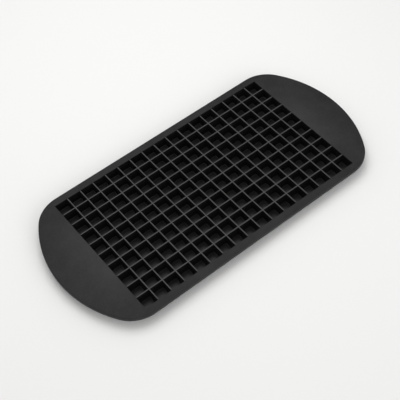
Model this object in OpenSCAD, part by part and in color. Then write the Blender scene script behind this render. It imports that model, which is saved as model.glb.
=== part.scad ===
// Silicone mini ice cube tray, moulded in one flexible piece.
// A grid of small square cells hangs from a flat rim, and the rim runs out at each end
// into a broad rounded flap that is gripped to lift the tray and to twist the ice out.
// Units are millimetres. +X runs along the tray, +Y across it and +Z up out of the cells.
// The underside of the cell block rests on Z = 0, and the tray is centred on X = Y = 0.

/* [Cells] */
// Number of cells along the tray
cell_cols = 17; // [4:1:24]
// Number of cells across the tray
cell_rows = 10; // [4:1:13]
// Width of one cell at its mouth
cell_w = 10; // [8:0.5:13]
// Thickness of the wall between two cells, at its top edge
wall_t = 1; // [0.6:0.1:2]
// Depth of a cell below the top of the rim
cell_depth = 8; // [5:0.5:20]
// How far each cell wall leans in from the mouth to the floor, so that the ice lets go
cell_draft = 0.2; // [0.1:0.1:1.5]
// Radius in the corner between a cell's walls and its floor
floor_r = 0.8; // [0.2:0.1:2]

/* [Block] */
// Thickness of the floor under the cells
floor_t = 1.2; // [0.8:0.1:4]
// Thickness of the outer wall round the cells
outer_wall_t = 1.2; // [0.8:0.1:4]
// Radius of the block's upright corners
block_corner_r = 1.6; // [1:0.1:2.4]
// Radius of the rounding along the bottom of the block
base_r = 0.8; // [0.2:0.1:0.9]

/* [Rim and flaps] */
// Thickness of the rim and of the flaps
rim_t = 3; // [1.8:0.1:5]
// Width of the rim along each long side, from the cells' mouths to its edge
side_rim_w = 6; // [3:0.5:12]
// Length of each end flap, from the cells' mouths to the middle of its curved end
flap_l = 32.5; // [26:0.5:60]
// Radius of the shallow curve across the end of a flap
end_r = 88; // [72:1:200]
// Radius of the flap's corners, where its end curve runs into the long sides
corner_r = 26; // [8:0.5:45]
// Radius of the rounding along the top and bottom edges of the rim
edge_r = 0.8; // [0.2:0.1:0.8]

/* [Hidden] */

// Distance from one cell to the next
pitch = cell_w + wall_t;
// Size of the field of cell mouths
field_l = cell_cols * pitch - wall_t;
field_w = cell_rows * pitch - wall_t;

// Heights of the rim's two faces
tray_h = cell_depth + floor_t;
rim_z = tray_h - rim_t;

// Half sizes of the outline, and the centres of its arcs
half_l = field_l / 2 + flap_l;
half_w = field_w / 2 + side_rim_w;
end_x = half_l - end_r;
corner_y = half_w - corner_r;
corner_x = end_x + sqrt(pow(end_r - corner_r, 2) - pow(corner_y, 2));
// Half of the angle that the end curve covers
end_half_angle = atan2(corner_y, corner_x - end_x);

// Lean of a cell wall from the upright
wall_lean = atan2(cell_draft, cell_depth);

// Size of the block at its foot, and how much wider it is on each side under the rim
block_l = field_l - 2 * cell_draft + 2 * outer_wall_t;
block_w = field_w - 2 * cell_draft + 2 * outer_wall_t;
lean_at_rim = rim_z * tan(wall_lean);

// Number of flats along each round stretch
CORNER_STEPS = 12;
END_STEPS = 20;
EDGE_STEPS = 4;
FLOOR_STEPS = 3;
// Sides of the full circles at the block's upright corners
BLOCK_CORNER_FN = 32;

// How far a cutter runs past the surface that it cuts
LAP = 1;

// Points along an arc, both of its ends among them.
function arc(centre, radius, from, to, steps) =
    [for (i = [0 : steps])
        let (a = from + (to - from) * i / steps)
        centre + radius * [cos(a), sin(a)]];

// One end of the tray's outline, drawn in all round by inset: a corner, the end curve
// and the other corner.
function end_outline(inset) =
    concat(
        arc([corner_x, -corner_y], corner_r - inset, -90, -end_half_angle, CORNER_STEPS),
        arc([end_x, 0], end_r - inset, -end_half_angle, end_half_angle, END_STEPS),
        arc([corner_x, corner_y], corner_r - inset, end_half_angle, 90, CORNER_STEPS));

// The rim and both flaps in one plate. Its slices draw in as the edge rounds over.
module rim()
    hull()
        for (k = [0 : EDGE_STEPS], end = [0, 180]) {
            a = 90 * k / EDGE_STEPS;
            lift = edge_r * (1 - sin(a));
            rotate(end)
                translate([0, 0, lift])
                    linear_extrude(rim_t - 2 * lift)
                        polygon(end_outline(edge_r * (1 - cos(a))));
        }

// A rectangle with rounded corners, drawn in all round by inset.
module rounded_plan(length, width, inset = 0)
    for (x = [-1, 1], y = [-1, 1])
        translate([x * (length / 2 - block_corner_r), y * (width / 2 - block_corner_r)])
            circle(r = block_corner_r - inset, $fn = BLOCK_CORNER_FN);

// The block that the cells are sunk into. It leans in with the cells' walls and is
// rounded along the bottom.
module block()
    hull() {
        translate([0, 0, rim_z])
            linear_extrude(rim_t / 2)
                rounded_plan(block_l + 2 * lean_at_rim, block_w + 2 * lean_at_rim);
        for (k = [0 : EDGE_STEPS]) {
            a = 90 * k / EDGE_STEPS;
            lift = base_r * (1 - sin(a));
            translate([0, 0, lift])
                linear_extrude(rim_z - lift)
                    rounded_plan(block_l, block_w, base_r * (1 - cos(a)));
        }
    }

// One side of a cell's section, from the middle of its floor to its mouth at height zero.
function half_section() =
    let (turn = 90 - wall_lean,
         arc_x = cell_w / 2 - cell_draft - floor_r * tan(turn / 2),
         arc_z = floor_r - cell_depth)
    concat(
        [for (i = [0 : FLOOR_STEPS])
            let (a = -90 + turn * i / FLOOR_STEPS)
            [arc_x + floor_r * cos(a), arc_z + floor_r * sin(a)]],
        [[cell_w / 2 + LAP * tan(wall_lean), LAP]]);

// A straight trough with the section of a cell, for one row or column of cells.
module trough(length) {
    right = half_section();
    left = [for (i = [len(right) - 1 : -1 : 0]) [-right[i][0], right[i][1]]];
    rotate([90, 0, 0])
        linear_extrude(length, center = true)
            polygon(concat(right, left));
}

// All the cells at once: where the troughs along the tray cross those that run across it.
module cells()
    translate([0, 0, tray_h])
        intersection() {
            for (i = [0 : cell_cols - 1])
                translate([(i - (cell_cols - 1) / 2) * pitch, 0, 0])
                    trough(field_w + 2 * LAP);
            for (j = [0 : cell_rows - 1])
                translate([0, (j - (cell_rows - 1) / 2) * pitch, 0])
                    rotate(90)
                        trough(field_l + 2 * LAP);
        }

module tray()
    color([0.21, 0.21, 0.22])
        difference() {
            union() {
                translate([0, 0, rim_z])
                    rim();
                block();
            }
            cells();
        }

tray();
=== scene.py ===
"""Ice cube tray in near-black silicone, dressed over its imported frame.

The tray is one moulding, so one closed mesh stands for the whole part. It adds what the
plain solid leaves out: rounded cell mouths and corners, a coved join and the moulded skin.
"""

import math

import bmesh
import bpy
from bpy.props import FloatProperty, FloatVectorProperty, IntProperty, PointerProperty
from mathutils import Matrix, Quaternion, Vector


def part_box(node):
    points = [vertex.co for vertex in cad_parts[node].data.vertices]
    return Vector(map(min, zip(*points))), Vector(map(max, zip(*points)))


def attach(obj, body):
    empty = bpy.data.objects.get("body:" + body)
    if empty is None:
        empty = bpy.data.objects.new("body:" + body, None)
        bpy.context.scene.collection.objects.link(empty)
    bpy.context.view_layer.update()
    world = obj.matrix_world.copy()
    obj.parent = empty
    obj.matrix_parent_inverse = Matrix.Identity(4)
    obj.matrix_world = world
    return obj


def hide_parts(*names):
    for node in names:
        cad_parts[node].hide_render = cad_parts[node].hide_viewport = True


bl_info = {
    "name": "Silicone ice cube tray",
    "version": (1, 0, 0),
    "blender": (4, 5, 0),
    "location": "View3D > Sidebar > Ice Tray",
    "description": "Builds a one-piece silicone ice cube tray, its material and its studio",
    "category": "Object",
}

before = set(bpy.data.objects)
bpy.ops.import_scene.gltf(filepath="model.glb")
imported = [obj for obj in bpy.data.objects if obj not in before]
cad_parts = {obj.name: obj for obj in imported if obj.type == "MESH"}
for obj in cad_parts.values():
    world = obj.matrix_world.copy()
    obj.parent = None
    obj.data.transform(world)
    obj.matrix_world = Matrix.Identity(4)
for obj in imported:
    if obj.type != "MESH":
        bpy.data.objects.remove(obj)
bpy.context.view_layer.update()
LOW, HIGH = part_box("tray")
TRAY_NAME = "moulded_tray"

MM = 0.001
UP = Vector((0, 0, 1))

# A gap or a margin too small to see
HAIR = 0.1 * MM

# Points closer than this are one point, and a level face lies this close to its height
TOLERANCE = 1e-6

# The share of its normal that points up or down, at least on a level face and at most on
# a steep one
LEVEL_SHARE = 0.99
STEEP_SHARE = 0.5

# Steps round each arc of the outline, and facets over each rounded edge. The cells have
# few, because each of their edges comes 170 times
OUTLINE_STEPS = 14
FACETS = {
    "rim": 5, "cell_foot": 3, "cell_corner": 1, "cell_mouth": 2,
    "block_corner": 6, "block_foot": 4, "cove": 3,
}

# Noise scales: how many features of each kind come in a metre
GRAIN_SCALE = 2600
WAVE_SCALE = 70
CLOUD_SCALE = 50
SPECK_SCALE = 900
DUST_AND_HIGHLIGHT_SCALE = 220
FLOOR_LIGHT_SCALE = 110

# The bloom is part specks and part clouds, and lies where their sum passes these values
SPECK_SHARE = 0.35
BLOOM_STARTS = 0.35
BLOOM_FULL = 0.65

# Where the painted light fades: over the middle of the tray between points this far inside the
# cells' end and a flap's tip, out to this far past the rim, and on the rim's side over this much
# at top and bottom
FADE_INSET = 3 * MM
FADE_PAST_RIM = 4 * MM
SIDE_LIGHT_FADE = 0.3 * MM

# How far the ridges' dust and painted highlight and the painted light on the cell floors vary
# about their mean, and how much rougher the skin is under bloom and painted light
UNEVENNESS = 0.6
BLOOM_AND_LIGHT_ROUGHNESS = 0.12

SILICONE_IOR = 1.41
SKIN_RELIEF = 0.06 * MM

# The floor from its middle to its sides in metres, and the camera's sensor in millimetres
FLOOR_REACH = 6
SENSOR_WIDTH = 36


def length(name, description, millimetres):
    """A size in metres whose default is written in millimetres."""
    return FloatProperty(
        name=name, description=description, default=millimetres * MM, min=0,
        precision=5, unit="LENGTH",
    )


def colour(name, description, default):
    return FloatVectorProperty(
        name=name, description=description, default=default, size=4, min=0, max=1,
        subtype="COLOR",
    )


def share(name, description, default):
    return FloatProperty(
        name=name, description=description, default=default, min=0, max=1, subtype="FACTOR",
    )


def power(name, description, watts):
    return FloatProperty(
        name=name, description=description, default=watts, min=0, unit="POWER",
    )


class CellSizes(bpy.types.PropertyGroup):
    """The field of cells"""

    columns: IntProperty(name="Columns", description="Cells along the tray", default=17, min=2)
    rows: IntProperty(name="Rows", description="Cells across the tray", default=10, min=2)
    mouth: length("Mouth", "Width of a cell at its mouth", 10)
    wall: length("Wall", "Thickness of the wall between two cells at its top", 1)
    depth: length("Depth", "Depth of a cell below the rim's top", 8)
    draft: length("Draft", "How far a cell's wall leans in from mouth to floor", 0.2)
    foot_round: length("Foot radius", "Radius between a cell's walls and its floor", 0.4)
    corner_round: length("Corner radius", "Radius in a cell's upright corners", 0.2)
    mouth_round: length("Mouth radius", "Radius over the edge of a cell's mouth", 0.2)


class RimSizes(bpy.types.PropertyGroup):
    """The rim along the sides and the flap at each end"""

    thickness: length("Thickness", "Thickness of the rim and the flaps", 3)
    end_radius: length("End radius", "Radius of the shallow curve across a flap's end", 88)
    corner_radius: length("Corner radius", "Radius where a flap runs into the long sides", 26)
    edge_round: length("Edge radius", "Radius over the rim's top and bottom edges", 0.8)


class BlockSizes(bpy.types.PropertyGroup):
    """The outside of the block of cells, below the rim"""

    wall: length("Outer wall", "Thickness of the wall round the cells, at its foot", 1.2)
    corner_radius: length("Corner radius", "Radius of the block's upright corners", 1.6)
    foot_round: length("Foot radius", "Radius along the bottom of the block", 0.8)
    cove: length("Cove", "Radius in the join between the block and the rim", 0.5)


class SiliconeFinish(bpy.types.PropertyGroup):
    """Colours and gloss of the silicone"""

    body: colour("Body", "Colour of the rim, flaps and outside", (0.0032, 0.0032, 0.0034, 1))
    # The bloom colour also serves as painted light over the middle of the tray and along the
    # rim's sides
    bloom: colour("Bloom", "Colour of the dry bloom on that skin", (0.03, 0.03, 0.0302, 1))
    # Partly dust, partly a painted highlight on the tops of the walls between the cells
    ridge_and_highlight: colour("Ridge", "Colour of the dusty tops of the walls", (0.058, 0.058, 0.058, 1))
    core: colour("Core", "Colour inside the cells, off polished cores", (0.008, 0.008, 0.0082, 1))
    # Painted light: a lighter colour on the cell floors, standing in for the light that falls on
    # them from above
    floor_light: colour(
        "Film", "Colour of the hard-water film on the cell floors", (0.013, 0.013, 0.013, 1)
    )
    matt: share("Matt roughness", "Roughness of the rim, flaps and outside", 0.52)
    inner: share("Core roughness", "Roughness inside the cells", 0.3)
    sheen: share("Specular level", "Strength of the outer skin's reflections", 0.27)
    inner_sheen: share("Core specular level", "Strength of reflections in the cells", 0.24)


class StudioSettings(bpy.types.PropertyGroup):
    """Camera, lamps and floor"""

    aim: FloatVectorProperty(
        name="Aim", description="Point that the camera looks at", subtype="TRANSLATION",
        default=(-0.01135, -0.00869, HIGH.z),
    )
    distance: length("Distance", "From the camera to the point that it looks at", 625.26)
    heading: FloatProperty(
        name="Heading", description="Direction of view, from +X towards +Y",
        default=math.radians(55.66), subtype="ANGLE",
    )
    pitch: FloatProperty(
        name="Pitch", description="How far the camera looks down",
        default=math.radians(52.9), subtype="ANGLE",
    )
    roll: FloatProperty(
        name="Roll", description="Turn of the camera about its line of sight",
        default=math.radians(-5.19), subtype="ANGLE",
    )
    lens: FloatProperty(
        name="Lens", description="Focal length for a 36 mm sensor", default=79.63,
        subtype="DISTANCE_CAMERA",
    )
    softbox: power("Softbox", "Power of the overhead softbox", 2)
    front: power("Front light", "Power of the low light in front of the tray", 0.9)
    fill: share("Fill", "Strength of the pale light from all round", 0.65)
    floor: colour("Floor", "Colour of the floor", (0.8, 0.8, 0.79, 1))


def half_field(cells):
    """Half the length and half the width of the cells, with half a wall all round them."""
    pitch = cells.mouth + cells.wall
    return cells.columns * pitch / 2, cells.rows * pitch / 2


def edges_between(bm, first, second):
    """The edges with a face that passes first on one side and one that passes second."""
    found = []
    for edge in bm.edges:
        if len(edge.link_faces) == 2:
            a, b = edge.link_faces
            if (first(a) and second(b)) or (first(b) and second(a)):
                found.append(edge)
    return found


def level(height):
    """A test for level faces at a height."""
    def at_height(face):
        away = abs(face.calc_center_median().z - height)
        return abs(face.normal.z) > LEVEL_SHARE and away < TOLERANCE

    return at_height


def steep(face):
    return abs(face.normal.z) < STEEP_SHARE


def round_over(bm, edges, radius, facets):
    bmesh.ops.bevel(
        bm, geom=edges, offset=radius, offset_type="OFFSET", segments=facets,
        profile=0.5, affect="EDGES", clamp_overlap=True, material=-1,
    )


def fill_band(bm, height):
    """Closes the flat band between the two open loops at a height."""
    open_edges = [
        e for e in bm.edges
        if e.is_boundary and all(abs(v.co.z - height) < TOLERANCE for v in e.verts)
    ]
    bmesh.ops.triangle_fill(bm, edges=open_edges, use_beauty=True, use_dissolve=False)


def sweep(bm, vert, centre, angle):
    """Carries an open outline on round a centre and returns its new last vertex."""
    made = bmesh.ops.spin(
        bm, geom=[vert], cent=centre, axis=UP, angle=angle, steps=OUTLINE_STEPS,
        use_merge=False, use_duplicate=False,
    )
    return next(g for g in made["geom_last"] if isinstance(g, bmesh.types.BMVert))


def draw_outline(bm, rim):
    """The outline of the rim and flaps as one level face at the top."""
    end_x = HIGH.x - rim.end_radius
    corner_y = HIGH.y - rim.corner_radius
    corner_x = end_x + math.sqrt((rim.end_radius - rim.corner_radius) ** 2 - corner_y**2)
    turn = math.atan2(corner_y, corner_x - end_x)

    # A quarter of it, from the middle of a long side to the tip of a flap
    first = bmesh.ops.create_vert(bm, co=(0, HIGH.y, HIGH.z))["vert"][0]
    side = bmesh.ops.extrude_vert_indiv(bm, verts=[first])["verts"][0]
    side.co.x = corner_x
    last = sweep(bm, side, (corner_x, corner_y, HIGH.z), turn - math.pi / 2)
    sweep(bm, last, (end_x, 0, HIGH.z), -turn)
    for axis in "YX":
        bmesh.ops.mirror(bm, geom=bm.verts[:] + bm.edges[:], axis=axis, merge_dist=TOLERANCE)
    bmesh.ops.contextual_create(bm, geom=bm.edges[:])


def add_rim(bm, rim):
    """The rim and both flaps as a plate, left open where the cells and the block join."""
    draw_outline(bm, rim)
    plate = bm.faces[:]
    if plate[0].normal.z < 0:
        bmesh.ops.reverse_faces(bm, faces=plate)
    grown = bmesh.ops.extrude_face_region(bm, geom=plate, use_keep_orig=True)["geom"]
    lower = [g for g in grown if isinstance(g, bmesh.types.BMVert)]
    bmesh.ops.translate(bm, verts=lower, vec=-UP * rim.thickness)
    bmesh.ops.recalc_face_normals(bm, faces=bm.faces[:])

    # A narrow ring keeps the rounding apart from the wide flat faces
    ring = 2.5 * rim.edge_round
    flats = [f for f in bm.faces if abs(f.normal.z) > LEVEL_SHARE]
    for flat in flats:
        bmesh.ops.inset_region(
            bm, faces=[flat], thickness=ring, use_even_offset=True, use_boundary=True
        )
    under = HIGH.z - rim.thickness
    for height in (HIGH.z, under):
        edges = edges_between(bm, level(height), steep)
        round_over(bm, edges, rim.edge_round, FACETS["rim"])
    bmesh.ops.delete(bm, geom=flats, context="FACES_ONLY")
    return under


def add_cells(bm, cells):
    """The field of cells, as a grid whose squares are sunk one by one."""
    floor = HIGH.z - cells.depth
    field = bmesh.ops.create_grid(bm, x_segments=cells.columns, y_segments=cells.rows, size=1)
    bmesh.ops.scale(bm, verts=field["verts"], vec=(*half_field(cells), 1))
    bmesh.ops.translate(bm, verts=field["verts"], vec=UP * HIGH.z)
    squares = list(dict.fromkeys(f for v in field["verts"] for f in v.link_faces))
    bmesh.ops.inset_individual(
        bm, faces=squares, thickness=cells.wall / 2, use_even_offset=True
    )
    bmesh.ops.inset_individual(
        bm, faces=squares, thickness=cells.draft, depth=-cells.depth, use_even_offset=True
    )
    bm.normal_update()

    def cell_wall(face):
        middle = (HIGH.z + floor) / 2
        return steep(face) and abs(face.calc_center_median().z - middle) < MM / 100

    uprights = edges_between(bm, cell_wall, cell_wall)
    feet = edges_between(bm, cell_wall, level(floor))
    round_over(bm, feet, cells.foot_round, FACETS["cell_foot"])
    bm.normal_update()
    uprights = [e for e in uprights if e.is_valid]
    round_over(bm, uprights, cells.corner_round, FACETS["cell_corner"])
    bm.normal_update()
    mouths = edges_between(bm, steep, level(HIGH.z))
    round_over(bm, mouths, cells.mouth_round, FACETS["cell_mouth"])
    return floor


def add_block(bm, cells, block, under):
    """The outside of the block: a rounded square let down from the underside of the rim."""
    drop = under - LOW.z
    lean = drop * cells.draft / cells.depth

    # A flat skirt round the top leaves room for the cove
    skirt = block.cove * 2
    reach = block.wall - cells.wall / 2 - cells.draft + lean + skirt
    half_x, half_y = half_field(cells)
    top = bmesh.ops.create_grid(bm, x_segments=1, y_segments=1, size=1)["verts"]
    bmesh.ops.scale(bm, verts=top, vec=(half_x + reach, half_y + reach, 1))
    bmesh.ops.translate(bm, verts=top, vec=UP * under)
    rounded = bmesh.ops.bevel(
        bm, geom=top, offset=block.corner_radius + skirt, offset_type="OFFSET",
        segments=FACETS["block_corner"], profile=0.5, affect="VERTICES", material=-1,
    )
    face = rounded["verts"][0].link_faces[0]
    bmesh.ops.inset_region(
        bm, faces=[face], thickness=skirt, use_even_offset=True, use_boundary=True
    )
    bmesh.ops.inset_region(
        bm, faces=[face], thickness=lean, depth=-drop,
        use_even_offset=True, use_boundary=True,
    )
    bm.normal_update()
    round_over(bm, face.edges[:], block.foot_round, FACETS["block_foot"])
    bm.normal_update()
    round_over(bm, edges_between(bm, steep, level(under)), block.cove, FACETS["cove"])


def mould_tray(settings):
    """One closed mesh of the whole tray."""
    bm = bmesh.new()
    under = add_rim(bm, settings.rim)
    floor = add_cells(bm, settings.cells)
    add_block(bm, settings.cells, settings.block, under)
    fill_band(bm, HIGH.z)
    fill_band(bm, under)
    bmesh.ops.remove_doubles(bm, verts=bm.verts[:], dist=TOLERANCE)
    bmesh.ops.recalc_face_normals(bm, faces=bm.faces[:])
    if bm.calc_volume(signed=True) < 0:
        bmesh.ops.reverse_faces(bm, faces=bm.faces[:])
    open_edges = [e for e in bm.edges if not e.is_manifold]
    if open_edges:
        raise RuntimeError(f"the tray is open along {len(open_edges)} edges")

    # All below the flat tops of the walls comes off polished cores: the second material
    half_x, half_y = half_field(settings.cells)
    lowest, highest = floor - MM / 2, HIGH.z - MM / 100
    for face in bm.faces:
        at = face.calc_center_median()
        inside = abs(at.x) < half_x and abs(at.y) < half_y
        face.material_index = int(inside and lowest < at.z < highest)
        face.smooth = True
    mesh = bpy.data.meshes.new(TRAY_NAME)
    bm.to_mesh(mesh)
    bm.free()
    return mesh


def new_group(name, inputs, outputs):
    """An empty shader group with its sockets, and the nodes at its two ends."""
    group = bpy.data.node_groups.new(name, "ShaderNodeTree")
    for label, kind, value in inputs:
        socket = group.interface.new_socket(label, in_out="INPUT", socket_type=kind)
        if value is not None:
            socket.default_value = value
    for label, kind in outputs:
        group.interface.new_socket(label, in_out="OUTPUT", socket_type=kind)
    return group, group.nodes.new("NodeGroupInput"), group.nodes.new("NodeGroupOutput")


def maths(tree, operation, *values):
    """The result of a Math node. Each value is a number or another node's output."""
    node = tree.nodes.new("ShaderNodeMath")
    node.operation = operation
    for slot, value in enumerate(values):
        if isinstance(value, (int, float)):
            node.inputs[slot].default_value = value
        else:
            tree.links.new(value, node.inputs[slot])
    return node.outputs["Value"]


def noise(tree, coordinates, scale, detail=2.0, roughness=0.5):
    node = tree.nodes.new("ShaderNodeTexNoise")
    tree.links.new(coordinates, node.inputs["Vector"])
    node.inputs["Scale"].default_value = scale
    node.inputs["Detail"].default_value = detail
    node.inputs["Roughness"].default_value = roughness
    return node.outputs["Fac"]


def smooth_ramp(tree, value, start, end):
    """Runs smoothly from nothing at start to one at end. Start may be the larger one."""
    node = tree.nodes.new("ShaderNodeMapRange")
    node.interpolation_type = "SMOOTHSTEP"
    tree.links.new(value, node.inputs["Value"])
    node.inputs["From Min"].default_value = start
    node.inputs["From Max"].default_value = end
    return node


def moulded_skin():
    """Bump heights of a moulded skin: fine grain over slow waves."""
    group, given, out = new_group(
        "moulded_skin",
        [("Place", "NodeSocketVector", None), ("Grain", "NodeSocketFloat", 1.0),
         ("Waves", "NodeSocketFloat", 1.0)],
        [("Height", "NodeSocketFloat")],
    )
    place = given.outputs["Place"]
    grain = noise(group, place, GRAIN_SCALE, detail=3, roughness=0.6)
    waves = noise(group, place, WAVE_SCALE, detail=1)
    total = maths(
        group, "ADD",
        maths(group, "MULTIPLY", grain, given.outputs["Grain"]),
        maths(group, "MULTIPLY", waves, given.outputs["Waves"]),
    )
    group.links.new(total, out.inputs["Height"])
    return group


def dry_bloom():
    """Where the silicone's skin has bloomed: soft clouds broken up by fine specks."""
    group, given, out = new_group(
        "dry_bloom",
        [("Place", "NodeSocketVector", None), ("Amount", "NodeSocketFloat", 0.5)],
        [("Bloom", "NodeSocketFloat")],
    )
    place = given.outputs["Place"]
    clouds = noise(group, place, CLOUD_SCALE, detail=6, roughness=0.7)
    specks = noise(group, place, SPECK_SCALE, detail=2, roughness=0.7)
    clouds = maths(group, "MULTIPLY", clouds, 1 - SPECK_SHARE)
    mixed = maths(group, "MULTIPLY_ADD", specks, SPECK_SHARE, clouds)
    ramp = smooth_ramp(group, mixed, BLOOM_STARTS, BLOOM_FULL)
    bloom = maths(group, "MULTIPLY", ramp.outputs["Result"], given.outputs["Amount"])
    group.links.new(bloom, out.inputs["Bloom"])
    return group


def use_group(tree, group, place, **values):
    """A shared effect in a material, at the material's own coordinates."""
    node = tree.nodes.new("ShaderNodeGroup")
    node.node_tree = group
    tree.links.new(place, node.inputs["Place"])
    for label, value in values.items():
        node.inputs[label].default_value = value
    return node


def blend_colours(tree, factor, first, second):
    """Two colours mixed by a mask. Each is a fixed colour or another node's output."""
    node = tree.nodes.new("ShaderNodeMix")
    node.data_type = "RGBA"
    tree.links.new(factor, node.inputs["Factor"])
    for label, value in (("A", first), ("B", second)):
        if isinstance(value, bpy.types.NodeSocket):
            tree.links.new(value, node.inputs[label])
        else:
            node.inputs[label].default_value = value
    return node.outputs["Result"]


def within(tree, coordinate, inner, outer):
    """One from the middle out to inner, fading to nothing at outer."""
    ramp = smooth_ramp(tree, maths(tree, "ABSOLUTE", coordinate), inner, outer)
    ramp.inputs["To Min"].default_value = 1
    ramp.inputs["To Max"].default_value = 0
    return ramp.outputs["Result"]


def split_place(tree, place):
    node = tree.nodes.new("ShaderNodeSeparateXYZ")
    tree.links.new(place, node.inputs["Vector"])
    return node.outputs


def uneven(tree, mask, place, scale):
    """A mask made a little stronger here and weaker there."""
    patches = noise(tree, place, scale, detail=3)
    patches = maths(tree, "MULTIPLY_ADD", patches, UNEVENNESS, 1 - UNEVENNESS / 2)
    return maths(tree, "MULTIPLY", mask, patches)


def ridge_dust_and_highlight(tree, place, settings):
    """Where the tops of the walls between the cells are lighter, all over the field: partly dust,
    partly a painted highlight.
    """
    at = split_place(tree, place)
    cells = settings.cells
    below_top = maths(tree, "SUBTRACT", at["Z"], HIGH.z)
    mask = within(tree, below_top, HAIR, cells.mouth_round)
    for axis, half in zip("XY", half_field(cells)):
        edge = half - cells.wall / 2
        mask = maths(tree, "MULTIPLY", mask, within(tree, at[axis], edge - cells.wall, edge))
    return uneven(tree, mask, place, DUST_AND_HIGHLIGHT_SCALE)


def painted_floor_light(tree, place, settings):
    """Painted light on the floors of the cells, as far as their foot: a lighter colour that
    stands in for the light falling on them from above.
    """
    cells = settings.cells
    height = maths(tree, "SUBTRACT", split_place(tree, place)["Z"], HIGH.z - cells.depth)
    return uneven(tree, within(tree, height, HAIR, cells.foot_round), place, FLOOR_LIGHT_SCALE)


def painted_middle_and_side_light(tree, place, settings):
    """Painted light: lighter over the middle of the tray by the cells, fading towards the flaps'
    tips, and along the sides of the rim and flaps.
    """
    at = split_place(tree, place)
    field_end = half_field(settings.cells)[0]
    lit_middle = maths(
        tree, "MULTIPLY",
        within(tree, at["X"], field_end - FADE_INSET, HIGH.x - FADE_INSET),
        within(tree, at["Y"], 0, HIGH.y + FADE_PAST_RIM),
    )
    half = settings.rim.thickness / 2
    from_middle = maths(tree, "SUBTRACT", at["Z"], HIGH.z - half)
    lit_sides = within(tree, from_middle, half - SIDE_LIGHT_FADE, half)
    return maths(tree, "MAXIMUM", lit_middle, lit_sides)


def silicone(name, colours, groups, masks, settings, roughness, specular, bloom, grain, waves):
    """Near-black silicone whose colour, gloss and skin vary with the moulding, with light painted
    into its colour.

    The colours are the plain skin, its bloom and what covers both; the bloom colour also serves
    as
    painted light. The masks say where the light is painted, or None, and where the cover lies:
    dust and a painted highlight on the ridges, painted light on the cell floors.
    """
    material = bpy.data.materials.new(name)
    material.use_nodes = True
    tree = material.node_tree
    shader = tree.nodes["Principled BSDF"]
    place = tree.nodes.new("ShaderNodeTexCoord").outputs["Object"]

    plain, bloom_and_light_colour, cover_and_light_colour = colours
    painted_light, cover_and_light = masks
    bloom_and_light = use_group(tree, groups["bloom"], place, Amount=bloom).outputs["Bloom"]
    # Painted light: over the middle of the tray and along the rim's sides the mask lifts the skin
    # to the bloom colour
    if painted_light:
        bloom_and_light = maths(tree, "MULTIPLY_ADD", painted_light(tree, place, settings), 1 - bloom, bloom_and_light)
    tint = blend_colours(tree, bloom_and_light, plain, bloom_and_light_colour)
    # The cover: dust and a painted highlight on the wall tops, painted light on the cell floors
    tint = blend_colours(tree, cover_and_light(tree, place, settings), tint, cover_and_light_colour)
    tree.links.new(tint, shader.inputs["Base Color"])
    rough = maths(tree, "MULTIPLY_ADD", bloom_and_light, BLOOM_AND_LIGHT_ROUGHNESS, roughness)
    tree.links.new(rough, shader.inputs["Roughness"])

    skin = use_group(tree, groups["skin"], place, Grain=grain, Waves=waves)
    bump = tree.nodes.new("ShaderNodeBump")
    bump.inputs["Strength"].default_value = 0.5
    bump.inputs["Distance"].default_value = SKIN_RELIEF
    tree.links.new(skin.outputs["Height"], bump.inputs["Height"])
    tree.links.new(bump.outputs["Normal"], shader.inputs["Normal"])

    shader.inputs["IOR"].default_value = SILICONE_IOR
    shader.inputs["Specular IOR Level"].default_value = specular
    return material


class ICETRAY_OT_mould(bpy.types.Operator):
    """Mould the tray with its cells, rim and flaps in one closed mesh"""

    bl_idname = "icetray.mould"
    bl_label = "Mould tray"

    def execute(self, context):
        tray = bpy.data.objects.new(TRAY_NAME, mould_tray(context.scene.icetray))
        context.scene.collection.objects.link(tray)
        flat = tray.modifiers.new("flat_faces", "WEIGHTED_NORMAL")
        flat.mode = "FACE_AREA"
        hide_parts("tray")
        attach(tray, "root")
        return {"FINISHED"}


class ICETRAY_OT_finish(bpy.types.Operator):
    """Give the tray its silicone, matt outside and smoother in the cells"""

    bl_idname = "icetray.finish"
    bl_label = "Finish silicone"

    def execute(self, context):
        tray = bpy.data.objects.get(TRAY_NAME)
        if tray is None:
            raise RuntimeError("mould the tray before its finish")
        settings = context.scene.icetray
        finish = settings.silicone
        groups = {"skin": moulded_skin(), "bloom": dry_bloom()}
        tray.data.materials.append(silicone(
            "matt_silicone", (finish.body, finish.bloom, finish.ridge_and_highlight), groups,
            (painted_middle_and_side_light, ridge_dust_and_highlight), settings, finish.matt, finish.sheen,
            bloom=0.38, grain=1.0, waves=1.6,
        ))
        tray.data.materials.append(silicone(
            "cell_silicone", (finish.core, finish.body, finish.floor_light), groups,
            (None, painted_floor_light), settings, finish.inner, finish.inner_sheen,
            bloom=0.5, grain=0.5, waves=0.8,
        ))
        return {"FINISHED"}


class ICETRAY_OT_studio(bpy.types.Operator):
    """Set the pale floor, the soft overhead light and the camera"""

    bl_idname = "icetray.studio"
    bl_label = "Set up studio"

    def execute(self, context):
        studio = context.scene.icetray.studio
        add_floor(context.scene, studio)
        add_softbox(
            context.scene, "softbox", place=(0.05, 0.2, 0.6), size=0.5,
            watts=studio.softbox, beam=180,
        )
        add_softbox(
            context.scene, "front_light", place=(0.1, -1.0, 0.5), size=0.8,
            watts=studio.front, beam=75,
        )
        add_surroundings(context.scene, studio)
        add_camera(context.scene, studio)
        context.scene.view_settings.view_transform = "Standard"
        return {"FINISHED"}


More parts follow.
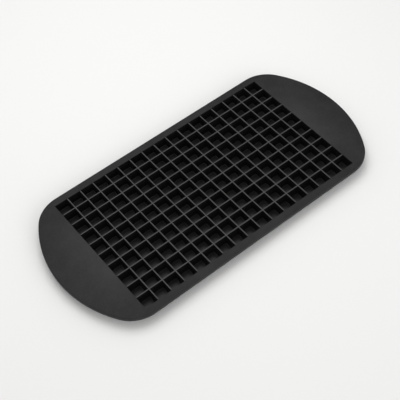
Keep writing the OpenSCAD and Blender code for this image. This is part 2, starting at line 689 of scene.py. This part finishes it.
def add_floor(scene, studio):
    """A wide pale matt floor, a hair below the tray so that the two never share a plane."""
    bm = bmesh.new()
    made = bmesh.ops.create_grid(bm, x_segments=1, y_segments=1, size=FLOOR_REACH)
    bmesh.ops.translate(bm, verts=made["verts"], vec=UP * (LOW.z - HAIR))
    mesh = bpy.data.meshes.new("studio_floor")
    bm.to_mesh(mesh)
    bm.free()
    floor = bpy.data.objects.new("studio_floor", mesh)
    scene.collection.objects.link(floor)
    material = bpy.data.materials.new("pale_floor")
    material.use_nodes = True
    shader = material.node_tree.nodes["Principled BSDF"]
    shader.inputs["Base Color"].default_value = studio.floor
    shader.inputs["Roughness"].default_value = 0.9
    shader.inputs["Specular IOR Level"].default_value = 0
    mesh.materials.append(material)


def add_softbox(scene, name, place, size, watts, beam):
    """A square lamp that faces the tray. A beam under 180 degrees keeps it off the floor."""
    lamp = bpy.data.lights.new(name, "AREA")
    lamp.shape = "SQUARE"
    lamp.size = size
    lamp.energy = watts
    lamp.spread = math.radians(beam)
    box = bpy.data.objects.new(name, lamp)
    box.location = place
    box.rotation_euler = (-box.location).to_track_quat("-Z", "Y").to_euler()
    scene.collection.objects.link(box)


def add_surroundings(scene, studio):
    """Pale light from all round, and a backdrop for the eye and for reflections."""
    world = bpy.data.worlds.new("studio_world")
    world.use_nodes = True
    tree = world.node_tree
    light = tree.nodes["Background"]
    light.inputs["Color"].default_value = (1, 1, 1, 1)
    light.inputs["Strength"].default_value = studio.fill

    # The eye sees the backdrop in the tone of the far floor, so that no horizon shows
    rays = tree.nodes.new("ShaderNodeLightPath").outputs
    backdrop = tree.nodes.new("ShaderNodeBackground")
    backdrop.inputs["Color"].default_value = studio.floor
    tone = maths(tree, "MULTIPLY_ADD", rays["Is Camera Ray"], studio.fill - 1, 1)
    tree.links.new(tone, backdrop.inputs["Strength"])

    seen = maths(tree, "MAXIMUM", rays["Is Camera Ray"], rays["Is Glossy Ray"])
    seen = maths(tree, "MAXIMUM", seen, rays["Is Transmission Ray"])
    pick = tree.nodes.new("ShaderNodeMixShader")
    tree.links.new(seen, pick.inputs["Fac"])
    tree.links.new(light.outputs["Background"], pick.inputs[1])
    tree.links.new(backdrop.outputs["Background"], pick.inputs[2])
    tree.links.new(pick.outputs["Shader"], tree.nodes["World Output"].inputs["Surface"])
    scene.world = world


def add_camera(scene, studio):
    """The camera at the photograph's angle."""
    data = bpy.data.cameras.new("photo_camera")
    data.sensor_width = SENSOR_WIDTH
    data.lens = studio.lens
    camera = bpy.data.objects.new("photo_camera", data)
    ahead = Vector((
        math.cos(studio.heading) * math.cos(studio.pitch),
        math.sin(studio.heading) * math.cos(studio.pitch),
        -math.sin(studio.pitch),
    ))
    turn = ahead.to_track_quat("-Z", "Y") @ Quaternion(UP, studio.roll)
    at = Vector(studio.aim) - ahead * studio.distance
    camera.matrix_world = Matrix.Translation(at) @ turn.to_matrix().to_4x4()
    scene.collection.objects.link(camera)
    scene.camera = camera


class TraySettings(bpy.types.PropertyGroup):
    """All that can be set on the tray and its studio"""

    cells: PointerProperty(type=CellSizes)
    rim: PointerProperty(type=RimSizes)
    block: PointerProperty(type=BlockSizes)
    silicone: PointerProperty(type=SiliconeFinish)
    studio: PointerProperty(type=StudioSettings)


class ICETRAY_PT_panel(bpy.types.Panel):
    """Sizes, finish and studio of the tray"""

    bl_idname = "ICETRAY_PT_panel"
    bl_label = "Ice Tray"
    bl_space_type = "VIEW_3D"
    bl_region_type = "UI"
    bl_category = "Ice Tray"

    def draw(self, context):
        settings = context.scene.icetray
        for title, group, operator in (
            ("Cells", settings.cells, None),
            ("Rim and flaps", settings.rim, None),
            ("Block", settings.block, ICETRAY_OT_mould),
            ("Silicone", settings.silicone, ICETRAY_OT_finish),
            ("Studio", settings.studio, ICETRAY_OT_studio),
        ):
            box = self.layout.box()
            box.label(text=title)
            for name in group.bl_rna.properties.keys():
                if name not in ("rna_type", "name"):
                    box.prop(group, name)
            if operator:
                box.operator(operator.bl_idname)


CLASSES = (
    CellSizes, RimSizes, BlockSizes, SiliconeFinish, StudioSettings, TraySettings,
    ICETRAY_OT_mould, ICETRAY_OT_finish, ICETRAY_OT_studio, ICETRAY_PT_panel,
)


def register():
    for each in CLASSES:
        bpy.utils.register_class(each)
    bpy.types.Scene.icetray = PointerProperty(type=TraySettings)


def unregister():
    del bpy.types.Scene.icetray
    for each in reversed(CLASSES):
        bpy.utils.unregister_class(each)


def main():
    register()
    bpy.ops.icetray.mould()
    bpy.ops.icetray.finish()
    bpy.ops.icetray.studio()


if __name__ == "__main__":
    main()
